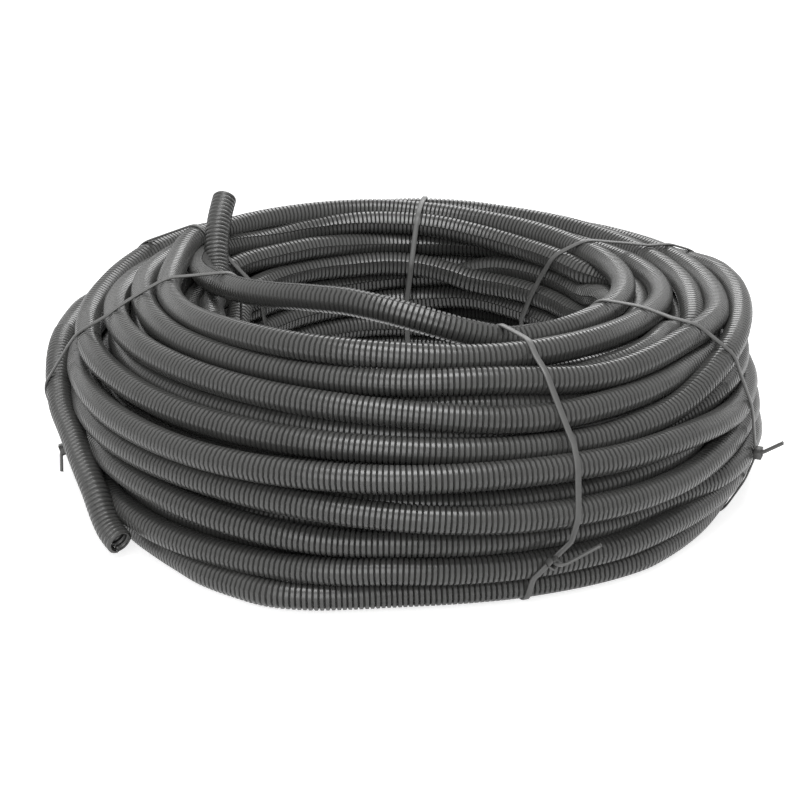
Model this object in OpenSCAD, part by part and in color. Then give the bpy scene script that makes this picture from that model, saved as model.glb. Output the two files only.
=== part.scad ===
// Coil of split corrugated conduit, held by six cable ties. Millimetres, +Z up.
// The coil lies flat round the Z axis and rests on its ties at Z = 0. -Y is the front.

/* [Conduit] */
// Outside diameter over the ribs
conduit_od = 15.8; // [14.8:0.1:18]
// Bore, the smallest inside diameter
conduit_bore = 12.4; // [10:0.1:13]
// Wall thickness
conduit_wall = 0.5; // [0.3:0.05:0.8]
// Distance from one rib to the next
rib_pitch = 3; // [2.6:0.1:5]
// Width of the flat top of a rib
rib_crest = 1.3; // [0.8:0.1:1.5]
// Length that the side of a rib takes up along the conduit
rib_flank = 0.35; // [0.2:0.05:0.5]
// Width of the lengthwise slit
slit_w = 0.4; // [0.2:0.1:1.5]
// Side that the slit faces on the outer end, 0 being down
outer_slit = 0; // [-90:5:90]
// Side that the slit faces on the inner end, 0 being down
inner_slit = 180; // [90:5:270]

/* [Coil] */
// Diameter of the open eye
eye_d = 234; // [180:1:320]
// Turns stacked in each column, from the eye outwards
column_turns = [7, 8, 8, 8, 7, 6, 5];
// Height from one turn to the next, a little under the conduit's diameter because the ribs mesh
turn_step = 15.3; // [14:0.1:15.7]
// Distance from one column to the next
column_step = 14.2; // [13:0.1:15]

/* [Loose turns] */
// How far the turn that has sprung across the eye is shifted off the coil's axis
eye_turn_shift = 37; // [33:1:41]
// How steeply that turn leans
eye_turn_lean = 23; // [20:1:26]
// Azimuth of the side on which it is low
eye_turn_low = 64; // [58:1:70]
// How far the turn that bulges from the outside is shifted off the coil's axis
bulge_shift = 20; // [16:1:24]
// How steeply that turn leans
bulge_lean = 16; // [12:1:18]
// Azimuth of the side on which it is high
bulge_high = 1; // [-10:1:10]

/* [Free ends] */
// Ribs on each free end, which is open as far as they reach
end_ribs = 8; // [4:1:10]
// Azimuth at which the outer end leaves the coil
outer_azimuth = 191; // [188:1:220]
// Turn of the outermost column that becomes the outer end, counted from 0 at the floor
outer_turn = 3; // [2:1:4]
// Horizontal reach of the outer end, which leaves along the turn's tangent
outer_reach = 118; // [105:1:150]
// Azimuth at which the inner end leaves the coil
inner_azimuth = 176; // [165:0.1:180]
// Height at which the inner end leaves the coil
inner_height = 86; // [60:1:95]
// Length of the inner end, most of it within the coil
inner_len = 92; // [85:1:120]
// Slope at which the inner end rises
inner_slope = 46; // [35:1:60]
// Compass direction of the inner end, 90 being straight back
inner_heading = 88; // [80:1:100]

/* [Cable ties] */
// Azimuth of each tie: front, right, back right, back, back left, left
tie_azimuths = [293, 336, 36, 89, 152, 192];
// Width of a strap
tie_w = 3.6; // [2.5:0.1:5]
// Thickness of a strap
tie_t = 1.2; // [0.8:0.1:2]
// Clearance between a strap and the coil
tie_gap = 0.3; // [0.1:0.1:0.5]
// Length of a tie's head along the strap
head_l = 6.4; // [5:0.1:9]
// Width of a tie's head
head_w = 6; // [5.2:0.1:9]
// How far a head stands proud of its strap
head_t = 3.4; // [2.5:0.1:6]
// Height of the heads above the floor
head_z = 26; // [22:1:60]
// Length of a tail that was cut short
short_tail = 16; // [8:1:30]
// Length of the front tie's tail
long_tail = 34; // [15:1:60]
// Angle at which a tail leans out from the coil
tail_lean = 35; // [10:1:60]

/* [Hidden] */
$fn = 96;
black_pp = "#343433";
black_nylon = "#3c3c3b";

conduit_r = conduit_od / 2;
valley_r = conduit_bore / 2 + conduit_wall;
last = len(column_turns) - 1;
coil_base = tie_t + tie_gap;
end_len = end_ribs * rib_pitch;
over = 1;
// A loose turn crosses a tie at a slant, and takes this much more room under it
skew_room = 1.2;

// Centre of turn j in column k: every other column sits half a step higher
function turn_r(k) = eye_d / 2 + conduit_r + k * column_step;
function turn_z(k, j) = coil_base + conduit_r + (k % 2 == 0 ? turn_step / 2 : 0) + j * turn_step;
function turn_at(k, j) = [turn_r(k), turn_z(k, j)];
function top_of(k) = turn_at(k, column_turns[k] - 1);
// Turns of column k that stand above the next column out, from the lowest up
function shoulder(k) = [
    for (j = [0 : column_turns[k] - 1])
        if (j == column_turns[k] - 1 || (k < last && turn_z(k, j) > top_of(k + 1)[1])) turn_at(k, j)
];

coil_r = turn_r(last) + conduit_r;
outer_start_z = turn_z(last, outer_turn);
outer_drop = outer_start_z - coil_base - conduit_r;
outer_slope = -atan(outer_drop / outer_reach);
outer_len = outer_reach / cos(outer_slope);

// Loose turns, each an arc whose axis leans and stands off the coil's own: radius, shift off the
// coil's axis, azimuth of the shift, height of the centre, lean down towards the shift, and the
// angles from the shift at which the arc goes into the coil
loose_turns = [
    [eye_d / 2 + eye_turn_shift - 2, eye_turn_shift, eye_turn_low, top_of(0)[1] - 29, eye_turn_lean, 90, 252],
    [turn_r(last - 1) - 6, bulge_shift, bulge_high, top_of(last - 1)[1] - 28, -bulge_lean, -75, 75],
];

// Azimuth, distance from the coil's axis and height of a loose turn's centre line at an angle along it
function loose_point(turn, t) =
    let (x = turn[1] + turn[0] * cos(t) * cos(turn[4]), y = turn[0] * sin(t))
    [turn[2] + atan2(y, x), norm([x, y]), turn[3] - turn[0] * cos(t) * sin(turn[4])];

// From any angle to the same angle between -180 and 180
function wrapped(angle) = angle - 360 * round(angle / 360);

// Angle along a loose turn at which it crosses an azimuth, found by stepping closer n times
function crossing(turn, azimuth, t = 0, n = 20) =
    n == 0 ? t : crossing(turn, azimuth, t + wrapped(azimuth - loose_point(turn, t)[0]), n - 1);

// Where the loose turns pass through the upright plane at an azimuth
function loose_at(azimuth) = [
    for (turn = loose_turns)
        let (t = crossing(turn, azimuth), middle = (turn[5] + turn[6]) / 2)
        if (abs(wrapped(t - middle)) < (turn[6] - turn[5]) / 2)
            let (p = loose_point(turn, t))
            [p[1], p[2]]
];

// Half outline of n ribs from z = 0 upwards: r is the valley radius and h the height of a rib
function rib_outline(r, h, n) = [
    for (i = [0 : n - 1])
        let (a = i * rib_pitch + (rib_pitch - rib_crest) / 2 - rib_flank)
        each [
            [r, a],
            [r + h, a + rib_flank],
            [r + h, a + rib_flank + rib_crest],
            [r, a + 2 * rib_flank + rib_crest],
        ]
];

// A ribbed rod: the outside of a free end, or the room inside it
module ribbed_rod(r, h, n) {
    rotate_extrude()
        polygon(concat([[0, 0], [r, 0]], rib_outline(r, h, n), [[r, n * rib_pitch], [0, n * rib_pitch]]));
}

module turns_section() {
    for (k = [0 : last], j = [0 : column_turns[k] - 1])
        translate(turn_at(k, j))
            circle(conduit_r);
    polygon(concat(
        [for (k = [0 : last]) turn_at(k, 0)],
        [for (k = [last : -1 : 0]) each shoulder(k)]
    ));
}

module loose_turn(turn) {
    rotate([0, 0, turn[2]])
        translate([turn[1], 0, turn[3]])
            rotate([0, turn[4], 0])
                rotate([0, 0, turn[5]])
                    rotate_extrude(angle = turn[6] - turn[5])
                        translate([turn[0], 0])
                            circle(conduit_r);
}

// Starts on a turn's centre at an azimuth and height, with +Z along a heading and a slope
module leave_coil(r, azimuth, z, heading, slope) {
    translate([r * cos(azimuth), r * sin(azimuth), z])
        rotate([0, 90 - slope, heading])
            children();
}

module at_outer_end() {
    leave_coil(turn_r(last), outer_azimuth, outer_start_z, outer_azimuth + 90, outer_slope)
        children();
}

module at_inner_end() {
    leave_coil(turn_r(0), inner_azimuth, inner_height, inner_heading, inner_slope)
        children();
}

// The outside of a free end that is length long
module end_skin(length) {
    cylinder(r = valley_r, h = length);
    translate([0, 0, length - end_len])
        ribbed_rod(valley_r, conduit_r - valley_r, end_ribs);
}

// The bore of a free end, with the slit that runs through its wall on one side
module end_bore(length, slit_side) {
    translate([0, 0, length - end_len]) {
        ribbed_rod(conduit_bore / 2, conduit_r - valley_r, end_ribs);
        rotate(slit_side)
            translate([0, -slit_w / 2, 0])
                cube([conduit_r + over, slit_w, end_len + over]);
        translate([0, 0, end_len - over])
            cylinder(r = conduit_bore / 2, h = 2 * over);
    }
}

module conduit() {
    color(black_pp)
        difference() {
            union() {
                rotate_extrude() turns_section();
                for (turn = loose_turns) loose_turn(turn);
                at_outer_end() end_skin(outer_len);
                at_inner_end() end_skin(inner_len);
            }
            at_outer_end() end_bore(outer_len, outer_slit);
            at_inner_end() end_bore(inner_len, inner_slit);
        }
}

// The coil's section at an azimuth with a taut band drawn round it, grow away from the conduit
module band(azimuth, grow) {
    hull() {
        for (k = [0 : last], p = [turn_at(k, 0), top_of(k)])
            translate(p)
                circle(conduit_r + grow, $fn = 64);
        for (p = loose_at(azimuth))
            translate(p)
                circle(conduit_r + skew_room + grow, $fn = 64);
    }
}

// A closed tie in the upright plane at an azimuth, with its head on the coil's outside
module cable_tie(azimuth, tail = short_tail) {
    strap_x = coil_r + tie_gap;
    color(black_nylon)
        rotate([0, 0, azimuth]) {
            rotate([90, 0, 0])
                linear_extrude(tie_w, center = true)
                    difference() {
                        band(azimuth, tie_gap + tie_t);
                        band(azimuth, tie_gap);
                    }
            translate([strap_x, -head_w / 2, head_z - head_l / 2])
                cube([tie_t + head_t, head_w, head_l]);
            translate([strap_x + tie_t, -tie_w / 2, head_z])
                rotate([0, tail_lean, 0])
                    cube([tie_t, tie_w, tail + head_l / 2]);
        }
}

module cable_tie_front() { cable_tie(tie_azimuths[0], long_tail); }
module cable_tie_right() { cable_tie(tie_azimuths[1]); }
module cable_tie_back_right() { cable_tie(tie_azimuths[2]); }
module cable_tie_back() { cable_tie(tie_azimuths[3]); }
module cable_tie_back_left() { cable_tie(tie_azimuths[4]); }
module cable_tie_left() { cable_tie(tie_azimuths[5]); }

conduit();
cable_tie_front();
cable_tie_right();
cable_tie_back_right();
cable_tie_back();
cable_tie_back_left();
cable_tie_left();
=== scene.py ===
import math

import bpy
import numpy as np
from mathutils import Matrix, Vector


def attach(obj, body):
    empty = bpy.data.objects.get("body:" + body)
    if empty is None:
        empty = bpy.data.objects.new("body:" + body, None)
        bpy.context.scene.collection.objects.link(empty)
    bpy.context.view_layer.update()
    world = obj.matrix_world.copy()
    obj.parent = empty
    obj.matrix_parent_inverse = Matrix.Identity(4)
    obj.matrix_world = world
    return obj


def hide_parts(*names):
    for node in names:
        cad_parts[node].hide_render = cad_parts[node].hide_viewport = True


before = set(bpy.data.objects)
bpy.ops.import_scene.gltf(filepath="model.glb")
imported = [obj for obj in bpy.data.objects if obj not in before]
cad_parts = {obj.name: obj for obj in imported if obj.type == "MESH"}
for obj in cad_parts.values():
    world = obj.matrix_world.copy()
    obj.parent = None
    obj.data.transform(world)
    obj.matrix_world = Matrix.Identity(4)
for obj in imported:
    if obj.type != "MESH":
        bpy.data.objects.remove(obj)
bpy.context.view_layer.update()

# ---------------------------------------------------------------------------
# Camera
# An 83 mm lens from a little over a metre away, looking slightly down on the coil.
# ---------------------------------------------------------------------------
camera_data = bpy.data.cameras.new("camera")
camera_data.lens = 83.0
camera_data.sensor_width = 36.0
camera = bpy.data.objects.new("camera", camera_data)
bpy.context.scene.collection.objects.link(camera)
look_at = Vector((-0.007, 0.0, 0.0403))
camera_tilt = math.radians(22.0)
camera.location = look_at + 1.185 * Vector((0, -math.cos(camera_tilt), math.sin(camera_tilt)))
camera.rotation_euler = (math.pi / 2 - camera_tilt, 0, 0)
bpy.context.scene.camera = camera

# ---------------------------------------------------------------------------
# Conduit: how it is wound
# One 51 m length of split corrugated polypropylene tube, blown into a ribbed mould, slit
# along its length and coiled on a drum: 49 loose turns in seven columns round an open eye.
# ---------------------------------------------------------------------------
conduit_d = 0.0158
eye_r = 0.117
column_step = 0.0142
turn_step = 0.0153
coil_base = 0.0015
stations = 60
station_step = 360 / stations
first_azimuth = 147.0

# Turns of each column in the order they were wound, counted from the floor
wound = [(6, 5, 4, 3, 2, 1, 0), (0, 1, 2, 3, 4, 5, 6, 7), (7, 6, 5, 4, 3, 2, 1, 0),
         (0, 1, 2, 3, 4, 5, 6, 7), (6, 5, 4, 3, 2, 1, 0), (0, 1, 2, 3, 4, 5), (4, 3, 2, 1, 0)]
slots = [
    (eye_r + conduit_d / 2 + k * column_step,
     coil_base + conduit_d / 2 + (turn_step / 2 if k % 2 == 0 else 0) + j * turn_step)
    for k, column in enumerate(wound) for j in column
]

# Stretches whose place is set, by the turn they are on: azimuth, distance from the axis and height,
# the last two in conduit diameters. 0 is the inner end, 14 the turn sprung across the eye, 43 the
# turn that bulges at the right, and 48 the last turn, its climb at the back and the outer end.
loose = {
    0: [(147, 9.27, 9.60), (152, 8.95, 9.08), (156.6, 8.7, 8.45), (161, 8.42, 7.85), (165, 8.2, 7.3),
        (171, 8.0, 6.95)],
    14: [(124, 8.85, 7.3), (135, 9.05, 7.3), (146, 9.3, 7.4), (156, 9.25, 7.5), (169, 8.66, 7.6),
         (184.6, 7.73, 7.85), (197, 7.15, 8.05),
         (212, 6.8, 8.35), (222, 6.65, 8.55), (231, 6.58, 8.72), (240.6, 6.55, 8.85), (249.5, 6.6, 8.9),
         (258.4, 6.75, 8.85), (266.4, 6.95, 8.7), (274.6, 7.15, 8.47), (282, 7.35, 8.2),
         (290, 7.55, 7.9), (297, 7.7, 7.68), (307, 7.85, 7.62), (320, 8.0, 7.6), (340, 8.2, 7.55),
         (360, 8.4, 7.5), (380, 8.6, 7.42), (400, 8.8, 7.4), (430, 9.0, 7.6), (460, 9.4, 7.9),
         (507, 9.8, 8.0)],
    15: [(460, 9.7, 7.05), (484, 9.75, 6.9), (507, 9.9, 6.75), (517, 9.85, 6.8)],
    38: [(250, 12.4, 1.2), (280, 12.2, 1.45), (345, 12.2, 1.5)],
    43: [(108, 12.3, 6.0), (125, 12.2, 6.6), (140, 12.15, 7.15), (152, 12.2, 7.15), (165, 12.5, 6.8),
         (180, 12.75, 6.4),
         (196, 12.75, 6.15),
         (212, 12.55, 6.0), (235, 12.45, 5.85), (265, 12.45, 5.75), (290, 12.4, 5.5), (302, 12.45, 5.4),
         (318, 12.6, 5.6), (330, 12.7, 6.2), (342, 12.85, 6.75), (355, 12.9, 7.0), (365, 13.0, 7.05),
         (375, 13.0, 7.0), (385, 12.9, 6.7), (400, 12.9, 6.2), (415, 13.05, 5.7)],
    47: [(213, 13.3, 1.55), (227, 13.35, 1.42), (253, 13.5, 1.48), (268, 13.4, 1.68), (283, 13.3, 1.56),
         (303, 13.35, 1.55), (316, 13.3, 1.66), (345, 13.3, 1.6)],
    48: [(185, 13.25, 1.0), (199, 12.95, 0.75), (213, 12.7, 0.6), (228, 13.07, 0.6),
         (238, 13.58, 0.6), (249, 13.85, 0.6), (257, 13.6, 0.6),
         (264, 13.1, 0.6), (276, 12.85, 0.6), (292, 12.9, 0.6), (308, 13.1, 0.6), (320, 12.9, 0.6),
         (332, 12.75, 0.6), (348, 12.75, 0.6), (362, 12.9, 0.6), (376, 13.2, 0.62), (390, 13.7, 0.8),
         (405, 14.2, 1.3), (420, 14.4, 1.9), (440, 14.45, 2.8), (465, 14.4, 3.9), (500, 14.3, 4.9),
         (525, 14.15, 5.2), (541, 14.05, 4.95),
         (546, 14.02, 4.5), (553, 14.0, 3.9), (561, 13.85, 3.3), (568, 13.9, 2.72), (573.4, 14.02, 2.1),
         (577.5, 14.15, 1.35), (581.8, 14.27, 0.62)],
}


def ease(x):
    x = np.clip(x, 0, 1)
    return x * x * (3 - 2 * x)


def wander(rng, count, knot_gap, size):
    """Smooth noise along the conduit: a cubic B-spline through random knots."""
    knots = rng.normal(0, size, (int(count / knot_gap) + 4, 2))
    x = np.arange(count) / knot_gap
    j = x.astype(int)
    u = (x - j)[:, None]
    parts = [(1 - u) ** 3, 3 * u**3 - 6 * u**2 + 4, -3 * u**3 + 3 * u**2 + 3 * u + 1, u**3]
    return sum(part / 6 * knots[j + i] for i, part in enumerate(parts))


def wind():
    """The centre line as (distance from the axis, height) at each station, with its azimuth."""
    rng = np.random.default_rng(3)
    turns = len(slots)
    passes, pull, push, smooth, closest = 160, 0.03, 0.45, 0.3, 0.975 * conduit_d
    stop = 360 * (turns - 1) + loose[turns - 1][-1][0] + station_step
    azimuth = np.arange(first_azimuth, stop, station_step)
    count = len(azimuth)
    rows = math.ceil(count / stations)
    place = np.array(slots + [slots[-1]] * (rows - turns + 1))
    start = rng.uniform(0, 0.25, rows)[:, None]
    length = rng.uniform(0.6, 0.8, rows)[:, None]
    share = ease((np.arange(stations) / stations - start) / length)[..., None]
    target = (place[:rows, None] * (1 - share) + place[1:rows + 1, None] * share).reshape(-1, 2)[:count]
    target += wander(rng, count, 8, 0.4 * conduit_d)

    held = np.zeros(count, bool)
    for turn, path in loose.items():
        a = np.array(path) * [1, conduit_d, conduit_d] + [360 * turn, 0, 0]
        on = (azimuth > a[0, 0] - 0.1) & (azimuth < a[-1, 0] + station_step)
        for axis in (0, 1):
            target[on, axis] = np.interp(azimuth[on], a[:, 0], a[:, 1 + axis])
        held |= on

    x = target.copy()
    grid = np.full((rows * stations, 2), 50.0)
    apart = np.eye(rows)[:, :, None]
    for _ in range(passes):
        x += pull * (target - x)
        grid[:count] = x
        g = grid.reshape(rows, stations, 2)
        gap = g[:, None] - g[None]
        distance = np.sqrt((gap**2).sum(-1)) + apart
        overlap = np.clip(closest - distance, 0, None)
        x += (gap / distance[..., None] * overlap[..., None] * push).sum(1).reshape(-1, 2)[:count]
        even = x.copy()
        even[1:-1] = 0.5 * x[1:-1] + 0.25 * (x[:-2] + x[2:])
        x = (1 - smooth) * x + smooth * even
        x[:, 1] = np.maximum(x[:, 1], coil_base + conduit_d / 2)
        x[held] = target[held]
    return azimuth, x, held, rows


azimuth, section, held, rows = wind()
angle = np.radians(azimuth)
line = np.stack([section[:, 0] * np.cos(angle), section[:, 0] * np.sin(angle), section[:, 1]], 1)


def on_line(at):
    """Points and unit tangents of a smooth curve through the centre line, at fractional stations."""
    i = np.clip(at.astype(int), 0, len(line) - 2)
    u = (at - i)[:, None]
    p = [line[np.clip(i + k, 0, len(line) - 1)] for k in (-1, 0, 1, 2)]
    a, b = 2 * p[0] - 5 * p[1] + 4 * p[2] - p[3], 3 * (p[1] - p[2]) + p[3] - p[0]
    point = 0.5 * (2 * p[1] + (p[2] - p[0]) * u + a * u**2 + b * u**3)
    tangent = 0.5 * ((p[2] - p[0]) + 2 * a * u + 3 * b * u**2)
    return point, tangent / np.linalg.norm(tangent, axis=1)[:, None]


fine = np.linspace(0, len(line) - 1, (len(line) - 1) * 12 + 1)
fine_points, _ = on_line(fine)
reach = np.concatenate([[0], np.cumsum(np.linalg.norm(np.diff(fine_points, axis=0), axis=1))])
last_azimuth = 360 * (len(slots) - 1) + loose[len(slots) - 1][-1][0]
conduit_length = np.interp((last_azimuth - first_azimuth) / station_step, fine, reach)


def open_to_view(ways):
    """Which stations lie on a turn that shows some of its width from one of these directions."""
    grid = np.full((rows * stations, 2), 50.0)
    grid[:len(section)] = section
    g = grid.reshape(rows, stations, 2)
    gap = g[None] - g[:, None]
    seen = np.zeros((rows, stations), bool)
    for way in np.radians(ways):
        in_front = gap[..., 0] * math.cos(way) + gap[..., 1] * math.sin(way) > 0.001
        aside = gap[..., 1] * math.cos(way) - gap[..., 0] * math.sin(way)
        for part in (-0.3, 0.0, 0.3):
            seen |= ~(in_front & (np.abs(aside - part * conduit_d) < 0.5 * conduit_d)).any(1)
    return np.convolve(seen.reshape(-1)[:len(section)], np.ones(3), "same") > 0


exposed = open_to_view(range(-20, 201, 20)) | held
underside = open_to_view(range(220, 321, 20)) & ~exposed

# ---------------------------------------------------------------------------
# Conduit: its ribbed wall
# Ribs every 3 mm and 1.3 mm high, and a lengthwise slit whose edges have slipped along each
# other, so that the ribs on its two sides don't quite meet.
# ---------------------------------------------------------------------------
rib_pitch = 0.003
rib_top = 0.0017
crest_r = conduit_d / 2
valley_r = 0.0066
wall = 0.0005
slit_half_angle = 0.04
rng = np.random.default_rng(11)
# Azimuth, counted on from turn to turn, and the side that the slit faces there in radians: 0 is
# inwards, pi/2 up and -pi/2 down, so it shows on the turn across the eye and not on the free ends
slit_faces = [(147, -1.6), (200, -1.2), (330, 0.0), (5140, 0.0), (5220, 1.5), (5340, 1.5), (5420, 0.0),
              (17480, 0.0), (17560, -1.0), (17790, -1.5), (17862, -1.6)]
slit_turn = wander(rng, len(line), 24, 0.5)[:, 0] + np.interp(azimuth, *np.array(slit_faces).T)
slit_slip = wander(rng, len(line), 20, 0.0012)[:, 0]


def rings(s, radius, round_angles):
    """Rings of points round the conduit at distances s along it, each with its own radius."""
    at = np.interp(s, reach, fine)
    point, tangent = on_line(at)
    up = np.array([0, 0, 1.0]) - tangent[:, 2:] * tangent
    up /= np.linalg.norm(up, axis=1)[:, None]
    side = np.cross(up, tangent)
    turn = np.interp(at, np.arange(len(line)), slit_turn)[:, None]
    slip = np.interp(at, np.arange(len(line)), slit_slip)[:, None]
    a = turn + round_angles[None]
    along = slip * (round_angles[None] / (2 * math.pi) - 0.5)
    return (
        point[:, None]
        + (radius * np.cos(a))[..., None] * side[:, None]
        + (radius * np.sin(a))[..., None] * up[:, None]
        + along[..., None] * tangent[:, None]
    )


def tube_faces(first, ring_count, around):
    """Quads between neighbouring closed rings of points, numbered from first."""
    i = first + np.arange(ring_count - 1)[:, None] * around
    j = np.arange(around)[None]
    k = (j + 1) % around
    return np.stack([i + j, i + k, i + around + k, i + around + j], -1).reshape(-1, 4)


def mesh_object(name, points, quads, material, sharp=None):
    """A smooth-shaded mesh; sharp tells which edges stay crisp from their two vertex numbers."""
    mesh = bpy.data.meshes.new(name)
    mesh.vertices.add(len(points))
    mesh.vertices.foreach_set("co", np.ascontiguousarray(points, np.float32).ravel())
    mesh.loops.add(quads.size)
    mesh.loops.foreach_set("vertex_index", np.ascontiguousarray(quads, np.int32).ravel())
    mesh.polygons.add(len(quads))
    mesh.polygons.foreach_set("loop_start", np.arange(0, quads.size, 4, dtype=np.int32))
    mesh.polygons.foreach_set("loop_total", np.full(len(quads), 4, np.int32))
    mesh.update(calc_edges=True)
    mesh.polygons.foreach_set("use_smooth", np.ones(len(quads), bool))
    if sharp is not None:
        ends = np.empty(len(mesh.edges) * 2, np.int32)
        mesh.edges.foreach_get("vertices", ends)
        mesh.edges.foreach_set("use_edge_sharp", sharp(ends.reshape(-1, 2)))
    mesh.materials.append(material)
    o = bpy.data.objects.new(name, mesh)
    bpy.context.scene.collection.objects.link(o)
    return o


def linear(hex_colour):
    """An sRGB hex colour as linear RGBA."""
    parts = [int(hex_colour[i:i + 2], 16) / 255 for i in (1, 3, 5)]
    return [c / 12.92 if c <= 0.04045 else ((c + 0.055) / 1.055) ** 2.4 for c in parts] + [1.0]


def add_node(tree, kind, settings=None, links=None):
    """Adds a node; settings go to its inputs or properties, links join its inputs to other sockets."""
    node = tree.nodes.new(kind)
    for key, value in (settings or {}).items():
        if isinstance(key, int) or key in node.inputs:
            node.inputs[key].default_value = value
        else:
            setattr(node, key, value)
    for key, socket in (links or {}).items():
        tree.links.new(socket, node.inputs[key])
    return node


def black_plastic(name, dark, light, smooth, rough):
    """A black moulding: a faint mottle in colour and sheen, and the fine grain of its mould."""
    material = bpy.data.materials.new(name)
    material.use_nodes = True
    tree = material.node_tree
    tree.nodes.clear()
    place = add_node(tree, "ShaderNodeTexCoord")
    mottle = add_node(tree, "ShaderNodeTexNoise", {"Scale": 60.0, "Detail": 4.0},
                      {"Vector": place.outputs["Object"]})
    grain = add_node(tree, "ShaderNodeTexNoise", {"Scale": 2200.0, "Detail": 2.0},
                     {"Vector": place.outputs["Object"]})
    colour = add_node(tree, "ShaderNodeMix", {"data_type": "RGBA", 6: linear(dark), 7: linear(light)},
                      {"Factor": mottle.outputs["Fac"]})
    sheen = add_node(tree, "ShaderNodeMapRange", {"To Min": smooth, "To Max": rough},
                     {"Value": mottle.outputs["Fac"]})
    bump = add_node(tree, "ShaderNodeBump", {"Strength": 0.12, "Distance": 0.0001},
                    {"Height": grain.outputs["Fac"]})
    shader = add_node(tree, "ShaderNodeBsdfPrincipled", {"IOR": 1.5, "Metallic": 0.0},
                      {"Base Color": colour.outputs[2], "Roughness": sheen.outputs["Result"],
                       "Normal": bump.outputs["Normal"]})
    add_node(tree, "ShaderNodeOutputMaterial", {}, {"Surface": shader.outputs["BSDF"]})
    return material


# Carbon-black polypropylene, as it leaves the mould
polypropylene = black_plastic("black_polypropylene", "#3c3c3b", "#474746", 0.22, 0.34)
ring_angles = np.concatenate([[0], np.linspace(slit_half_angle, 2 * math.pi - slit_half_angle, 11)])
plain_angles = np.linspace(0, 2 * math.pi, 8, endpoint=False)
around = len(ring_angles)
end_ribs = {"inner": 44, "outer": 64}
body_start = end_ribs["inner"] * rib_pitch
body_end = (math.floor(conduit_length / rib_pitch) - end_ribs["outer"]) * rib_pitch


def ribbed_stretch(s0, s1):
    """Whole ribs from s0 to s1: a ring in each valley and one on each edge of a crest."""
    rib = np.arange(round(s0 / rib_pitch), round(s1 / rib_pitch))[:, None] * rib_pitch
    s = (rib + np.array([0, (rib_pitch - rib_top) / 2, (rib_pitch + rib_top) / 2])).ravel()
    s = np.append(s, s[-1] + (rib_pitch - rib_top) / 2)
    radius = np.append(np.tile([valley_r, crest_r, crest_r], len(rib)), valley_r)
    radius = radius[:, None].repeat(around, 1)
    radius[:, 0] = valley_r - wall
    return rings(s, radius, ring_angles)


def crisp(rings_of):
    """Sharp edges of ribbed stretches: every bend of the rib's profile, and the slit's two lips."""
    def sharp(ends):
        ring, step = rings_of[ends], ends % around
        across = ring[:, 0] == ring[:, 1]
        lip = (ring[:, 0] != ring[:, 1]) & ((step[:, 0] == 1) | (step[:, 0] == around - 1))
        return across | lip
    return sharp


def conduit_piece(name, stretches, ribbed):
    """Joins stretches of the conduit into one object of the part."""
    points = np.concatenate([ring.reshape(-1, 3) for ring in stretches])
    n = stretches[0].shape[1]
    firsts = np.cumsum([0] + [len(ring) * n for ring in stretches[:-1]])
    quads = np.concatenate([tube_faces(first, len(ring), n) for first, ring in zip(firsts, stretches)])
    ring_number = np.concatenate([np.repeat(np.arange(len(ring)), n) for ring in stretches])
    o = mesh_object(name, points, quads, polypropylene, crisp(ring_number) if ribbed else None)
    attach(o, "root")
    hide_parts("conduit")
    return o


def stretches_of(mask):
    """Where mask holds along the conduit, as distances rounded to whole ribs."""
    edge = np.flatnonzero(np.diff(np.concatenate([[0], mask.astype(int), [0]])))
    for i0, i1 in zip(edge[::2], edge[1::2]):
        s0, s1 = np.interp([i0, min(i1, len(mask) - 1)], fine, reach)
        s0 = max(round(s0 / rib_pitch) * rib_pitch, body_start)
        s1 = min(round(s1 / rib_pitch) * rib_pitch, body_end)
        if s1 - s0 > 3 * rib_pitch:
            yield s0, s1


most_triangles = 190000
longest_stretch = 3.0
waiting, waiting_rings, made = [], 0, 0
for s0, s1 in stretches_of(exposed | underside):
    steps = math.ceil((s1 - s0) / longest_stretch)
    cuts = [round(c / rib_pitch) * rib_pitch for c in np.linspace(s0, s1, steps + 1)]
    for c0, c1 in zip(cuts[:-1], cuts[1:]):
        ring = ribbed_stretch(c0, c1)
        if (waiting_rings + len(ring)) * around * 2 > most_triangles:
            made += 1
            conduit_piece(f"conduit_turns_{made}", waiting, True)
            waiting, waiting_rings = [], 0
        waiting.append(ring)
        waiting_rings += len(ring)
made += 1
conduit_piece(f"conduit_turns_{made}", waiting, True)

# Turns that nothing outside sees are plain tubes
plain_step = 0.012
hidden = []
for s0, s1 in stretches_of(~(exposed | underside)):
    s = np.linspace(s0 - rib_pitch, s1 + rib_pitch, int((s1 - s0) / plain_step) + 2)
    hidden.append(rings(s, 0.93 * crest_r, plain_angles))
conduit_piece("conduit_turns_inside", hidden, False)

# ---------------------------------------------------------------------------
# Free ends
# The last stretch of each end, cut square with a knife, open at the mouth and along the slit.
# ---------------------------------------------------------------------------
end_angles = np.linspace(slit_half_angle * 0.7, 2 * math.pi - slit_half_angle * 0.7, 32)
rib_profile = [(0, valley_r), (0.00045, valley_r + 0.0001), (0.0007, crest_r), (0.0023, crest_r),
               (0.00255, valley_r + 0.0001)]


def end_piece(name, s_mouth, ribs, way):
    """The wall as an open C in section, ribbed inside and out, from the mouth inwards."""
    s = np.array([s_mouth + way * (k * rib_pitch + d) for k in range(ribs) for d, _ in rib_profile])
    radius = np.array([r for _ in range(ribs) for _, r in rib_profile])[:, None]
    ring = np.concatenate([rings(s, radius, end_angles), rings(s, radius - wall, end_angles[::-1])], 1)
    n, count = len(ring), ring.shape[1]
    rim = np.array([[j, count - 1 - j, count - 2 - j, j + 1] for j in range(count // 2 - 1)])
    quads = np.concatenate([tube_faces(0, n, count), rim, (n - 1) * count + rim[:, ::-1]])
    o = mesh_object(name, ring.reshape(-1, 3), quads if way > 0 else quads[:, ::-1], polypropylene)
    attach(o, "root")
    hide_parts("conduit")
    return o


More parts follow.
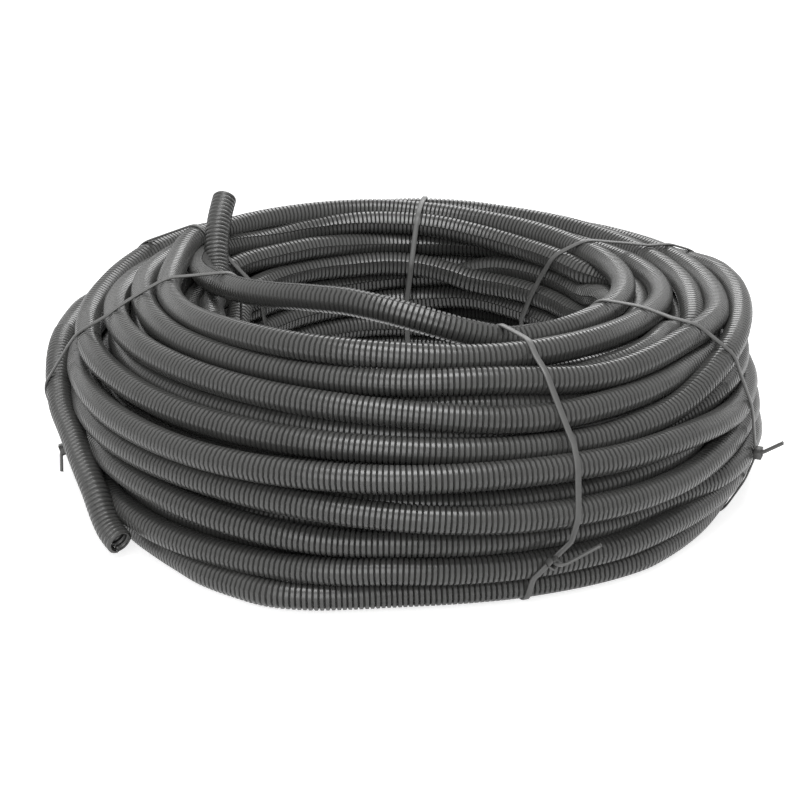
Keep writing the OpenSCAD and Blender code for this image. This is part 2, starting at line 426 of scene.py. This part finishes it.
end_piece("conduit_inner_end", 0.0, end_ribs["inner"], 1)
end_piece("conduit_outer_end", body_end + end_ribs["outer"] * rib_pitch, end_ribs["outer"], -1)

# ---------------------------------------------------------------------------
# Cable ties
# Six black nylon ties, 3.6 mm wide, injection moulded with a toothed strap, a head with a slot
# and a tail that was left on. Each is pulled round the bundle in an upright, slightly skewed loop.
# ---------------------------------------------------------------------------
tie_w = 0.0036
tie_t = 0.0012
tie_clear = 0.0001
nylon = black_plastic("black_nylon", "#474746", "#525251", 0.35, 0.5)


def hull(points):
    """Convex hull of points in a plane, anticlockwise."""
    points = sorted(map(tuple, points))
    def half(run):
        out = []
        for p in run:
            while len(out) > 1 and ((out[-1][0] - out[-2][0]) * (p[1] - out[-2][1])
                                    <= (out[-1][1] - out[-2][1]) * (p[0] - out[-2][0])):
                out.pop()
            out.append(p)
        return out[:-1]
    return np.array(half(points) + half(points[::-1]))


def tie_loop(tie_azimuths_round, left_out):
    """A tie's middle line round the bundle: points, outward normals and widths' directions."""
    middle = np.array([eye_r + 3.5 * column_step + 0.005, 0.065])

    def azimuth_at(p):
        psi = np.degrees(np.arctan2(p[:, 1] - middle[1], p[:, 0] - middle[0])) % 360
        knots = sorted(tie_azimuths_round.items())
        return np.interp(psi, [k for k, _ in knots], [v for _, v in knots], period=360)

    mean = np.mean(list(tie_azimuths_round.values()))
    own = np.full(rows, mean)
    turn = np.arange(rows)
    for _ in range(3):
        at = ((own - first_azimuth) % 360 + 360 * turn) / station_step
        keep = at < len(section) - 1
        at = at[keep]
        point, _ = on_line(at)
        flat = np.stack([np.hypot(point[:, 0], point[:, 1]), point[:, 2]], 1)
        own = own.copy()
        own[keep] = azimuth_at(flat)
    flat = np.delete(flat, [t for t in left_out if t < len(flat)], 0)
    round_way = np.radians(np.arange(0, 360, 7.5))
    offset = crest_r + tie_clear + tie_t / 2
    circle = offset * np.stack([np.cos(round_way), np.sin(round_way)], 1)
    loop = hull((flat[:, None] + circle).reshape(-1, 2))
    loop[:, 1] = np.maximum(loop[:, 1], tie_t / 2)
    steps = np.linalg.norm(np.roll(loop, -1, 0) - loop, axis=1)
    run = np.concatenate([[0], np.cumsum(steps)])
    closed = np.vstack([loop, loop[:1]])
    even = np.linspace(0, run[-1], 200, endpoint=False)
    loop = np.stack([np.interp(even, run, closed[:, i]) for i in (0, 1)], 1)
    for _ in range(3):
        loop = 0.5 * loop + 0.25 * (np.roll(loop, 1, 0) + np.roll(loop, -1, 0))
    a = np.radians(azimuth_at(loop))
    points = np.stack([loop[:, 0] * np.cos(a), loop[:, 0] * np.sin(a), loop[:, 1]], 1)
    way = np.roll(points, -1, 0) - np.roll(points, 1, 0)
    way /= np.linalg.norm(way, axis=1)[:, None]
    broad = np.stack([-np.sin(a), np.cos(a), np.zeros(len(a))], 1)
    normal = np.cross(broad, way)
    normal /= np.linalg.norm(normal, axis=1)[:, None]
    return points, normal, np.cross(normal, way)


def strap_rings(points, normal, broad, height=1.0):
    """The strap's section, a flat bar with its edges eased, at each point of a path."""
    shape = np.array([(-0.5, -0.3), (-0.4, -0.5), (0.4, -0.5), (0.5, -0.3),
                      (0.5, 0.3), (0.4, 0.5), (-0.4, 0.5), (-0.5, 0.3)])
    return (points[:, None] + (shape[:, 0] * tie_w)[None, :, None] * broad[:, None]
            + (shape[:, 1] * tie_t)[None, :, None] * normal[:, None] * height)


def cable_tie(name, round_azimuths, head_height, tail_way, tail_length, left_out=()):
    """One tie: its loop, the head where the two ends meet, and the tail beyond the head."""
    points, normal, broad = tie_loop(round_azimuths, left_out)
    outer = np.flatnonzero(np.hypot(points[:, 0], points[:, 1]) > eye_r + 3.5 * column_step)
    at = outer[np.argmin(np.abs(points[outer, 2] - head_height))]
    parts, quads, count = [], [], 0

    def add(ring, closed_path):
        nonlocal count
        n, k = ring.shape[:2]
        faces = tube_faces(count, n, k)
        if closed_path:
            last, j = count + (n - 1) * k, np.arange(k)
            m = (j + 1) % k
            faces = np.concatenate([faces, np.stack([last + j, last + m, count + m, count + j], 1)])
        else:
            for base, turn in ((count, 1), (count + (n - 1) * k, -1)):
                cap = [[base, base + 1, base + 2, base + 3], [base, base + 3, base + 4, base + 7],
                       [base + 4, base + 5, base + 6, base + 7]]
                faces = np.concatenate([faces, np.array(cap)[:, ::turn]])
        parts.append(ring.reshape(-1, 3))
        quads.append(faces)
        count += n * k

    add(strap_rings(points, normal, broad), True)
    here, out, wide = points[at], normal[at], -broad[at]
    along = np.cross(out, wide)

    # Head: four walls round the slot that the tail comes out of
    def block(lo, hi):
        nonlocal count
        corner = np.array([(x, y, z) for z in (lo[2], hi[2]) for x, y in
                           ((lo[0], lo[1]), (hi[0], lo[1]), (hi[0], hi[1]), (lo[0], hi[1]))])
        parts.append(here + corner[:, :1] * wide + corner[:, 1:2] * along + corner[:, 2:] * out)
        quads.append(count + np.array([[0, 3, 2, 1], [4, 5, 6, 7], [0, 1, 5, 4], [1, 2, 6, 5],
                                       [2, 3, 7, 6], [3, 0, 4, 7]]))
        count += 8

    half_w, half_l, top, wall_t = 0.003, 0.0032, 0.0042, 0.0011
    block((-half_w, -half_l, -0.0006), (half_w, -half_l + wall_t, top))
    block((-half_w, half_l - 0.0022, -0.0006), (half_w, half_l, top))
    block((-half_w, -half_l, -0.0006), (-half_w + 0.0009, half_l, top))
    block((half_w - 0.0009, -half_l, -0.0006), (half_w, half_l, top))

    # Tail: out through the slot, then bending over to where it points
    tail_way = np.array(tail_way) / np.linalg.norm(tail_way)
    aim = tail_way[0] * wide + tail_way[1] * along + tail_way[2] * out
    u = np.linspace(0, 1, 40)[:, None]
    bend = np.minimum(u / 0.35, 1)
    step = (1 - bend) * out + bend * aim
    step /= np.linalg.norm(step, axis=1)[:, None]
    path = here + np.vstack([np.zeros(3), np.cumsum(step[:-1], 0)]) * (tail_length + 0.004) / 39
    face = along - (step @ along)[:, None] * step
    face /= np.linalg.norm(face, axis=1)[:, None]
    tooth = 1 + 0.25 * (np.arange(40) % 2)
    ring = strap_rings(path, face, np.cross(face, step), tooth[:, None, None])
    add(ring, False)
    ends = np.concatenate(quads)
    o = mesh_object(name, np.concatenate(parts), ends, nylon)
    edge = o.modifiers.new("eased edges", "BEVEL")
    edge.width = 0.0002
    edge.segments = 1
    edge.limit_method = "ANGLE"
    edge.angle_limit = math.radians(50)
    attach(o, "root")
    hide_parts(name)
    return o


# Azimuth at each place round the bundle: 0 its outside, 90 its top, 180 the eye, 270 the floor
cable_tie("cable_tie_front", {0: 293.3, 35: 294.2, 90: 293.0, 180: 297.0, 270: 287.0, 315: 287.5, 335: 292.5},
          0.031, (0.3, 1.2, 0.2), 0.028)
cable_tie("cable_tie_right", {0: 337.0, 50: 334.0, 90: 331.5, 125: 333.0, 180: 326.0, 270: 333.0, 315: 337.5},
          0.0415, (0.15, 0.5, 0.8), 0.014)
cable_tie("cable_tie_back_right", {0: 26.0, 90: 24.0, 110: 28.0, 150: 41.0, 180: 48.0, 270: 36.0}, 0.026,
          (0.1, 0.4, 0.8), 0.014)
cable_tie("cable_tie_back", {0: 86.0, 110: 86.5, 180: 91.5, 270: 89.0}, 0.026, (0.1, 0.4, 0.8), 0.014)
cable_tie("cable_tie_back_left", {0: 153.0, 100: 154.5, 130: 154.0, 180: 149.0, 270: 152.0}, 0.026,
          (0.1, 0.4, 0.8), 0.014, (0,))
cable_tie("cable_tie_left", {0: 190.5, 35: 192.0, 70: 196.0, 110: 191.0, 180: 197.0, 270: 193.0, 315: 192.5},
          0.027, (0.1, -0.9, 0.3), 0.012)

# ---------------------------------------------------------------------------
# Floor and light
# A white table and three large soft boxes, as for a catalogue picture.
# ---------------------------------------------------------------------------
def seen_ray(tree):
    """1 for what the camera sees, also in reflections and through glass, and 0 for lighting."""
    path = add_node(tree, "ShaderNodeLightPath")
    seen = add_node(tree, "ShaderNodeMath", {"operation": "MAXIMUM"},
                    {0: path.outputs["Is Camera Ray"], 1: path.outputs["Is Glossy Ray"]})
    return add_node(tree, "ShaderNodeMath", {"operation": "MAXIMUM"},
                    {0: seen.outputs[0], 1: path.outputs["Is Transmission Ray"]}).outputs[0]


def plain_white(name):
    """Matt white that stays white to the camera and in reflections, yet takes the coil's shadow."""
    material = bpy.data.materials.new(name)
    material.use_nodes = True
    tree = material.node_tree
    tree.nodes.clear()
    lift = add_node(tree, "ShaderNodeMath", {"operation": "MULTIPLY", 1: 0.75}, {0: seen_ray(tree)})
    paint = add_node(tree, "ShaderNodeBsdfDiffuse", {"Color": linear("#d8d8d8")})
    glow = add_node(tree, "ShaderNodeEmission", {"Color": (1, 1, 1, 1)}, {"Strength": lift.outputs[0]})
    both = add_node(tree, "ShaderNodeAddShader", {}, {0: paint.outputs[0], 1: glow.outputs[0]})
    add_node(tree, "ShaderNodeOutputMaterial", {}, {"Surface": both.outputs[0]})
    return material


floor_mesh = bpy.data.meshes.new("floor")
floor_mesh.from_pydata([(-6, -6, 0), (6, -6, 0), (6, 6, 0), (-6, 6, 0)], [], [(0, 1, 2, 3)])
floor_mesh.materials.append(plain_white("floor_white"))
floor = bpy.data.objects.new("floor", floor_mesh)
bpy.context.scene.collection.objects.link(floor)

world = bpy.data.worlds.new("studio")
world.use_nodes = True
bpy.context.scene.world = world
tree = world.node_tree
tree.nodes.clear()
level = add_node(tree, "ShaderNodeMapRange", {"To Min": 0.42, "To Max": 1.0}, {"Value": seen_ray(tree)})
sky = add_node(tree, "ShaderNodeBackground", {"Color": (1, 1, 1, 1)},
               {"Strength": level.outputs["Result"]})
add_node(tree, "ShaderNodeOutputWorld", {}, {"Surface": sky.outputs[0]})


def softbox(name, place, size, power):
    """A square lamp that faces the coil."""
    data = bpy.data.lights.new(name, "AREA")
    data.shape = "SQUARE"
    data.size = size
    data.energy = power
    o = bpy.data.objects.new(name, data)
    o.location = place
    o.rotation_euler = (Vector((0, 0, 0.05)) - Vector(place)).to_track_quat("-Z", "Y").to_euler()
    bpy.context.scene.collection.objects.link(o)


softbox("overhead_light", (0.0, -0.4, 1.5), 0.8, 19)
softbox("front_light", (-0.3, -1.4, 0.7), 0.9, 10)
softbox("back_light", (0.2, 1.3, 1.0), 0.8, 8)

scene = bpy.context.scene
scene.view_settings.view_transform = "Standard"
